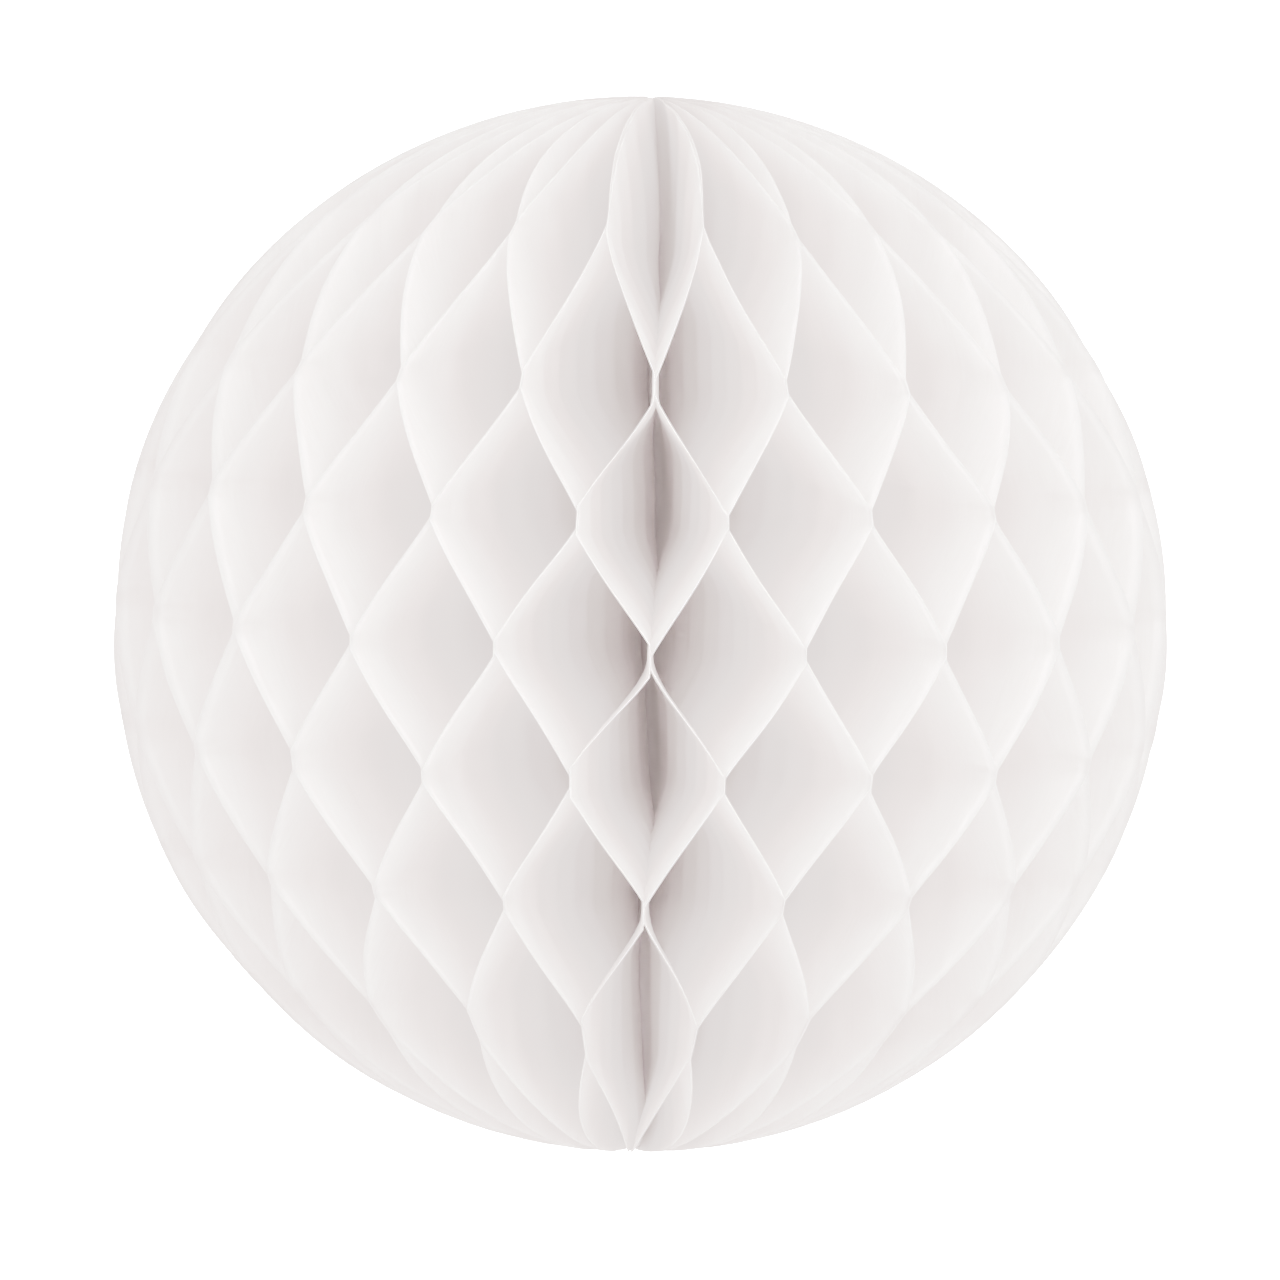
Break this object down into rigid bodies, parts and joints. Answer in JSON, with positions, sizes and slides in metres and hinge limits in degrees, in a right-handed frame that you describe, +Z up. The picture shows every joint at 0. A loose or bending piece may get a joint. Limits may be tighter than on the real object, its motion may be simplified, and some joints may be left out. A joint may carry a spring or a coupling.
{
  "type": "honeycomb paper ball",
  "caption": "Round hanging decoration of thin tissue leaves glued in alternating strips, which fans open from a flat half-disc into a ball of diamond cells.",
  "frame": {"origin": "centre of the open ball, on the spine", "axes": "+Z up along the spine; the closing seam and both covers lie towards +Y; +X completes a right-handed frame"},
  "size_m": [0.3032, 0.3046, 0.3046],
  "materials": {
    "tissue": "matt, thin, lets light through",
    "card": "matt white card",
    "adhesive": "translucent tape",
    "dried_glue": "dried white glue",
    "thread": "twisted cotton"
  },
  "bodies": {
    "seam_side": {"cover_a": "card", "spine_glue": "dried_glue", "spine_thread": "thread"},
    "fold_01_side": {"leaf_01": "tissue"},
    "fold_02_side": {"leaf_02": "tissue"},
    "fold_03_side": {"leaf_03": "tissue"},
    "fold_04_side": {"leaf_04": "tissue"},
    "fold_05_side": {"leaf_05": "tissue"},
    "fold_06_side": {"leaf_06": "tissue"},
    "fold_07_side": {"leaf_07": "tissue"},
    "fold_08_side": {"leaf_08": "tissue"},
    "fold_09_side": {"leaf_09": "tissue"},
    "fold_10_side": {"leaf_10": "tissue"},
    "fold_11_side": {"leaf_11": "tissue"},
    "fold_12_side": {"leaf_12": "tissue"},
    "fold_13_side": {"leaf_13": "tissue"},
    "fold_14_side": {"leaf_14": "tissue"},
    "fold_15_side": {"leaf_15": "tissue"},
    "fold_16_side": {"leaf_16": "tissue"},
    "fold_17_side": {"leaf_17": "tissue"},
    "fold_18_side": {"leaf_18": "tissue"},
    "fold_19_side": {"leaf_19": "tissue"},
    "fold_20_side": {"leaf_20": "tissue"},
    "fold_21_side": {"leaf_21": "tissue"},
    "fold_22_side": {"leaf_22": "tissue"},
    "fold_23_side": {"leaf_23": "tissue"},
    "fold_24_side": {"leaf_24": "tissue"},
    "fold_25_side": {"leaf_25": "tissue"},
    "fold_26_side": {"leaf_26": "tissue"},
    "fold_27_side": {"leaf_27": "tissue"},
    "fold_28_side": {"leaf_28": "tissue"},
    "fold_29_side": {"leaf_29": "tissue"},
    "fold_30_side": {"leaf_30": "tissue"},
    "fold_31_side": {"leaf_31": "tissue"},
    "fold_32_side": {"leaf_32": "tissue"},
    "fold_33_side": {"leaf_33": "tissue"},
    "fold_34_side": {"leaf_34": "tissue"},
    "fold_35_side": {"leaf_35": "tissue"},
    "fold_36_side": {"leaf_36": "tissue"},
    "fold_37_side": {"leaf_37": "tissue"},
    "fold_38_side": {"leaf_38": "tissue"},
    "fold_39_side": {"leaf_39": "tissue"},
    "fold_40_side": {"leaf_40": "tissue"},
    "fold_41_side": {"leaf_41": "tissue"},
    "fold_42_side": {"leaf_42": "tissue"},
    "fold_43_side": {"leaf_43": "tissue"},
    "fold_44_side": {"leaf_44": "tissue", "cover_b": "card", "adhesive_strips": "adhesive"}
  },
  "joints": [
    {"name": "fold_01", "type": "hinge", "parent": "seam_side", "child": "fold_01_side", "pos_m": [-0.00011, 0.0016, 0], "axis": [0, 0, -1], "range_deg": [0, 8.15], "deforming": ["leaf_01"]},
    {"name": "fold_02", "type": "hinge", "parent": "fold_01_side", "child": "fold_02_side", "pos_m": [-0.00034, 0.00156, 0], "axis": [0, 0, -1], "range_deg": [0, 8.15], "deforming": ["leaf_02"]},
    {"name": "fold_03", "type": "hinge", "parent": "fold_02_side", "child": "fold_03_side", "pos_m": [-0.00056, 0.0015, 0], "axis": [0, 0, -1], "range_deg": [0, 8.15], "deforming": ["leaf_03"]},
    {"name": "fold_04", "type": "hinge", "parent": "fold_03_side", "child": "fold_04_side", "pos_m": [-0.00077, 0.0014, 0], "axis": [0, 0, -1], "range_deg": [0, 8.15], "deforming": ["leaf_04"]},
    {"name": "fold_05", "type": "hinge", "parent": "fold_04_side", "child": "fold_05_side", "pos_m": [-0.00096, 0.00128, 0], "axis": [0, 0, -1], "range_deg": [0, 8.15], "deforming": ["leaf_05"]},
    {"name": "fold_06", "type": "hinge", "parent": "fold_05_side", "child": "fold_06_side", "pos_m": [-0.00113, 0.00113, 0], "axis": [0, 0, -1], "range_deg": [0, 8.15], "deforming": ["leaf_06"]},
    {"name": "fold_07", "type": "hinge", "parent": "fold_06_side", "child": "fold_07_side", "pos_m": [-0.00128, 0.00096, 0], "axis": [0, 0, -1], "range_deg": [0, 8.15], "deforming": ["leaf_07"]},
    {"name": "fold_08", "type": "hinge", "parent": "fold_07_side", "child": "fold_08_side", "pos_m": [-0.0014, 0.00077, 0], "axis": [0, 0, -1], "range_deg": [0, 8.15], "deforming": ["leaf_08"]},
    {"name": "fold_09", "type": "hinge", "parent": "fold_08_side", "child": "fold_09_side", "pos_m": [-0.0015, 0.00056, 0], "axis": [0, 0, -1], "range_deg": [0, 8.15], "deforming": ["leaf_09"]},
    {"name": "fold_10", "type": "hinge", "parent": "fold_09_side", "child": "fold_10_side", "pos_m": [-0.00156, 0.00034, 0], "axis": [0, 0, -1], "range_deg": [0, 8.15], "deforming": ["leaf_10"]},
    {"name": "fold_11", "type": "hinge", "parent": "fold_10_side", "child": "fold_11_side", "pos_m": [-0.0016, 0.00011, 0], "axis": [0, 0, -1], "range_deg": [0, 8.15], "deforming": ["leaf_11"]},
    {"name": "fold_12", "type": "hinge", "parent": "fold_11_side", "child": "fold_12_side", "pos_m": [-0.0016, -0.00011, 0], "axis": [0, 0, -1], "range_deg": [0, 8.15], "deforming": ["leaf_12"]},
    {"name": "fold_13", "type": "hinge", "parent": "fold_12_side", "child": "fold_13_side", "pos_m": [-0.00156, -0.00034, 0], "axis": [0, 0, -1], "range_deg": [0, 8.15], "deforming": ["leaf_13"]},
    {"name": "fold_14", "type": "hinge", "parent": "fold_13_side", "child": "fold_14_side", "pos_m": [-0.0015, -0.00056, 0], "axis": [0, 0, -1], "range_deg": [0, 8.15], "deforming": ["leaf_14"]},
    {"name": "fold_15", "type": "hinge", "parent": "fold_14_side", "child": "fold_15_side", "pos_m": [-0.0014, -0.00077, 0], "axis": [0, 0, -1], "range_deg": [0, 8.15], "deforming": ["leaf_15"]},
    {"name": "fold_16", "type": "hinge", "parent": "fold_15_side", "child": "fold_16_side", "pos_m": [-0.00128, -0.00096, 0], "axis": [0, 0, -1], "range_deg": [0, 8.15], "deforming": ["leaf_16"]},
    {"name": "fold_17", "type": "hinge", "parent": "fold_16_side", "child": "fold_17_side", "pos_m": [-0.00113, -0.00113, 0], "axis": [0, 0, -1], "range_deg": [0, 8.15], "deforming": ["leaf_17"]},
    {"name": "fold_18", "type": "hinge", "parent": "fold_17_side", "child": "fold_18_side", "pos_m": [-0.00096, -0.00128, 0], "axis": [0, 0, -1], "range_deg": [0, 8.15], "deforming": ["leaf_18"]},
    {"name": "fold_19", "type": "hinge", "parent": "fold_18_side", "child": "fold_19_side", "pos_m": [-0.00077, -0.0014, 0], "axis": [0, 0, -1], "range_deg": [0, 8.15], "deforming": ["leaf_19"]},
    {"name": "fold_20", "type": "hinge", "parent": "fold_19_side", "child": "fold_20_side", "pos_m": [-0.00056, -0.0015, 0], "axis": [0, 0, -1], "range_deg": [0, 8.15], "deforming": ["leaf_20"]},
    {"name": "fold_21", "type": "hinge", "parent": "fold_20_side", "child": "fold_21_side", "pos_m": [-0.00034, -0.00156, 0], "axis": [0, 0, -1], "range_deg": [0, 8.15], "deforming": ["leaf_21"]},
    {"name": "fold_22", "type": "hinge", "parent": "fold_21_side", "child": "fold_22_side", "pos_m": [-0.00011, -0.0016, 0], "axis": [0, 0, -1], "range_deg": [0, 8.15], "deforming": ["leaf_22"]},
    {"name": "fold_23", "type": "hinge", "parent": "fold_22_side", "child": "fold_23_side", "pos_m": [0.00011, -0.0016, 0], "axis": [0, 0, -1], "range_deg": [0, 8.15], "deforming": ["leaf_23"]},
    {"name": "fold_24", "type": "hinge", "parent": "fold_23_side", "child": "fold_24_side", "pos_m": [0.00034, -0.00156, 0], "axis": [0, 0, -1], "range_deg": [0, 8.15], "deforming": ["leaf_24"]},
    {"name": "fold_25", "type": "hinge", "parent": "fold_24_side", "child": "fold_25_side", "pos_m": [0.00056, -0.0015, 0], "axis": [0, 0, -1], "range_deg": [0, 8.15], "deforming": ["leaf_25"]},
    {"name": "fold_26", "type": "hinge", "parent": "fold_25_side", "child": "fold_26_side", "pos_m": [0.00077, -0.0014, 0], "axis": [0, 0, -1], "range_deg": [0, 8.15], "deforming": ["leaf_26"]},
    {"name": "fold_27", "type": "hinge", "parent": "fold_26_side", "child": "fold_27_side", "pos_m": [0.00096, -0.00128, 0], "axis": [0, 0, -1], "range_deg": [0, 8.15], "deforming": ["leaf_27"]},
    {"name": "fold_28", "type": "hinge", "parent": "fold_27_side", "child": "fold_28_side", "pos_m": [0.00113, -0.00113, 0], "axis": [0, 0, -1], "range_deg": [0, 8.15], "deforming": ["leaf_28"]},
    {"name": "fold_29", "type": "hinge", "parent": "fold_28_side", "child": "fold_29_side", "pos_m": [0.00128, -0.00096, 0], "axis": [0, 0, -1], "range_deg": [0, 8.15], "deforming": ["leaf_29"]},
    {"name": "fold_30", "type": "hinge", "parent": "fold_29_side", "child": "fold_30_side", "pos_m": [0.0014, -0.00077, 0], "axis": [0, 0, -1], "range_deg": [0, 8.15], "deforming": ["leaf_30"]},
    {"name": "fold_31", "type": "hinge", "parent": "fold_30_side", "child": "fold_31_side", "pos_m": [0.0015, -0.00056, 0], "axis": [0, 0, -1], "range_deg": [0, 8.15], "deforming": ["leaf_31"]},
    {"name": "fold_32", "type": "hinge", "parent": "fold_31_side", "child": "fold_32_side", "pos_m": [0.00156, -0.00034, 0], "axis": [0, 0, -1], "range_deg": [0, 8.15], "deforming": ["leaf_32"]},
    {"name": "fold_33", "type": "hinge", "parent": "fold_32_side", "child": "fold_33_side", "pos_m": [0.0016, -0.00011, 0], "axis": [0, 0, -1], "range_deg": [0, 8.15], "deforming": ["leaf_33"]},
    {"name": "fold_34", "type": "hinge", "parent": "fold_33_side", "child": "fold_34_side", "pos_m": [0.0016, 0.00011, 0], "axis": [0, 0, -1], "range_deg": [0, 8.15], "deforming": ["leaf_34"]},
    {"name": "fold_35", "type": "hinge", "parent": "fold_34_side", "child": "fold_35_side", "pos_m": [0.00156, 0.00034, 0], "axis": [0, 0, -1], "range_deg": [0, 8.15], "deforming": ["leaf_35"]},
    {"name": "fold_36", "type": "hinge", "parent": "fold_35_side", "child": "fold_36_side", "pos_m": [0.0015, 0.00056, 0], "axis": [0, 0, -1], "range_deg": [0, 8.15], "deforming": ["leaf_36"]},
    {"name": "fold_37", "type": "hinge", "parent": "fold_36_side", "child": "fold_37_side", "pos_m": [0.0014, 0.00077, 0], "axis": [0, 0, -1], "range_deg": [0, 8.15], "deforming": ["leaf_37"]},
    {"name": "fold_38", "type": "hinge", "parent": "fold_37_side", "child": "fold_38_side", "pos_m": [0.00128, 0.00096, 0], "axis": [0, 0, -1], "range_deg": [0, 8.15], "deforming": ["leaf_38"]},
    {"name": "fold_39", "type": "hinge", "parent": "fold_38_side", "child": "fold_39_side", "pos_m": [0.00113, 0.00113, 0], "axis": [0, 0, -1], "range_deg": [0, 8.15], "deforming": ["leaf_39"]},
    {"name": "fold_40", "type": "hinge", "parent": "fold_39_side", "child": "fold_40_side", "pos_m": [0.00096, 0.00128, 0], "axis": [0, 0, -1], "range_deg": [0, 8.15], "deforming": ["leaf_40"]},
    {"name": "fold_41", "type": "hinge", "parent": "fold_40_side", "child": "fold_41_side", "pos_m": [0.00077, 0.0014, 0], "axis": [0, 0, -1], "range_deg": [0, 8.15], "deforming": ["leaf_41"]},
    {"name": "fold_42", "type": "hinge", "parent": "fold_41_side", "child": "fold_42_side", "pos_m": [0.00056, 0.0015, 0], "axis": [0, 0, -1], "range_deg": [0, 8.15], "deforming": ["leaf_42"]},
    {"name": "fold_43", "type": "hinge", "parent": "fold_42_side", "child": "fold_43_side", "pos_m": [0.00034, 0.00156, 0], "axis": [0, 0, -1], "range_deg": [0, 8.15], "deforming": ["leaf_43"]},
    {"name": "fold_44", "type": "hinge", "parent": "fold_43_side", "child": "fold_44_side", "pos_m": [0.00011, 0.0016, 0], "axis": [0, 0, -1], "range_deg": [0, 8.15], "deforming": ["leaf_44"]}
  ],
  "couplings": [
    {"joint": "fold_02", "follows": "fold_01", "ratio": 1},
    {"joint": "fold_03", "follows": "fold_01", "ratio": 1},
    {"joint": "fold_04", "follows": "fold_01", "ratio": 1},
    {"joint": "fold_05", "follows": "fold_01", "ratio": 1},
    {"joint": "fold_06", "follows": "fold_01", "ratio": 1},
    {"joint": "fold_07", "follows": "fold_01", "ratio": 1},
    {"joint": "fold_08", "follows": "fold_01", "ratio": 1},
    {"joint": "fold_09", "follows": "fold_01", "ratio": 1},
    {"joint": "fold_10", "follows": "fold_01", "ratio": 1},
    {"joint": "fold_11", "follows": "fold_01", "ratio": 1},
    {"joint": "fold_12", "follows": "fold_01", "ratio": 1},
    {"joint": "fold_13", "follows": "fold_01", "ratio": 1},
    {"joint": "fold_14", "follows": "fold_01", "ratio": 1},
    {"joint": "fold_15", "follows": "fold_01", "ratio": 1},
    {"joint": "fold_16", "follows": "fold_01", "ratio": 1},
    {"joint": "fold_17", "follows": "fold_01", "ratio": 1},
    {"joint": "fold_18", "follows": "fold_01", "ratio": 1},
    {"joint": "fold_19", "follows": "fold_01", "ratio": 1},
    {"joint": "fold_20", "follows": "fold_01", "ratio": 1},
    {"joint": "fold_21", "follows": "fold_01", "ratio": 1},
    {"joint": "fold_22", "follows": "fold_01", "ratio": 1},
    {"joint": "fold_23", "follows": "fold_01", "ratio": 1},
    {"joint": "fold_24", "follows": "fold_01", "ratio": 1},
    {"joint": "fold_25", "follows": "fold_01", "ratio": 1},
    {"joint": "fold_26", "follows": "fold_01", "ratio": 1},
    {"joint": "fold_27", "follows": "fold_01", "ratio": 1},
    {"joint": "fold_28", "follows": "fold_01", "ratio": 1},
    {"joint": "fold_29", "follows": "fold_01", "ratio": 1},
    {"joint": "fold_30", "follows": "fold_01", "ratio": 1},
    {"joint": "fold_31", "follows": "fold_01", "ratio": 1},
    {"joint": "fold_32", "follows": "fold_01", "ratio": 1},
    {"joint": "fold_33", "follows": "fold_01", "ratio": 1},
    {"joint": "fold_34", "follows": "fold_01", "ratio": 1},
    {"joint": "fold_35", "follows": "fold_01", "ratio": 1},
    {"joint": "fold_36", "follows": "fold_01", "ratio": 1},
    {"joint": "fold_37", "follows": "fold_01", "ratio": 1},
    {"joint": "fold_38", "follows": "fold_01", "ratio": 1},
    {"joint": "fold_39", "follows": "fold_01", "ratio": 1},
    {"joint": "fold_40", "follows": "fold_01", "ratio": 1},
    {"joint": "fold_41", "follows": "fold_01", "ratio": 1},
    {"joint": "fold_42", "follows": "fold_01", "ratio": 1},
    {"joint": "fold_43", "follows": "fold_01", "ratio": 1},
    {"joint": "fold_44", "follows": "fold_01", "ratio": 1}
  ]
}
